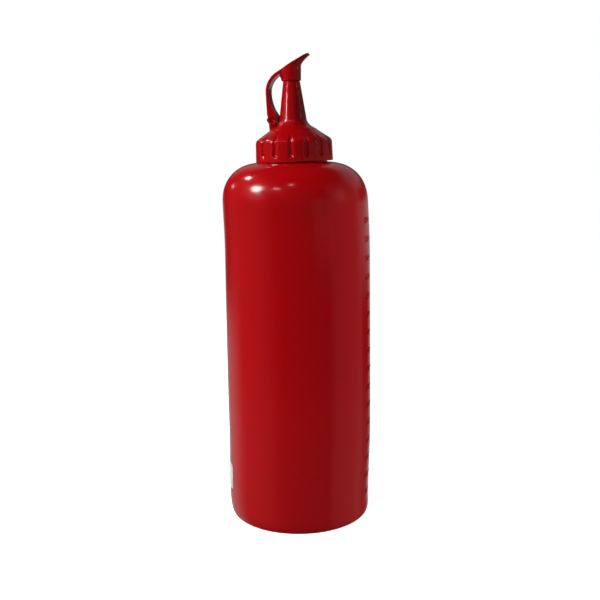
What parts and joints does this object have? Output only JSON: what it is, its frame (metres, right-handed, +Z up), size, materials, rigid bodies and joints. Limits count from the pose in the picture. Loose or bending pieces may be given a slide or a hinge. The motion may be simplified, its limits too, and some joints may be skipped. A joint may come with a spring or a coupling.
{
  "type": "squeeze bottle",
  "caption": "Tall round squeeze bottle with a screw cap, a tapered pouring nozzle and a captive flip lid on a pin hinge that closes the nozzle's tip.",
  "frame": {"origin": "on the standing surface, under the middle of the bottle", "axes": "+Z up along the bottle, -X towards the lid's hinge, +X towards the lid's thumb tongue and the raised scale"},
  "size_m": [0.0802, 0.08, 0.2549],
  "materials": {
    "bottle": "blow-moulded polyethylene, satin red",
    "nozzle_cap": "injection-moulded polyethylene, smooth red",
    "flip_lid": "injection-moulded polyethylene, smooth red",
    "sticker": "blank white film"
  },
  "bodies": {
    "bottle_with_cap": {"bottle": "bottle", "nozzle_cap": "nozzle_cap", "sticker": "sticker"},
    "lid": {"flip_lid": "flip_lid"}
  },
  "joints": [
    {"name": "lid_hinge", "type": "hinge", "parent": "bottle_with_cap", "child": "lid", "pos_m": [-0.012, 0, 0.22048], "axis": [0, -1, 0], "range_deg": [0, 104]}
  ]
}
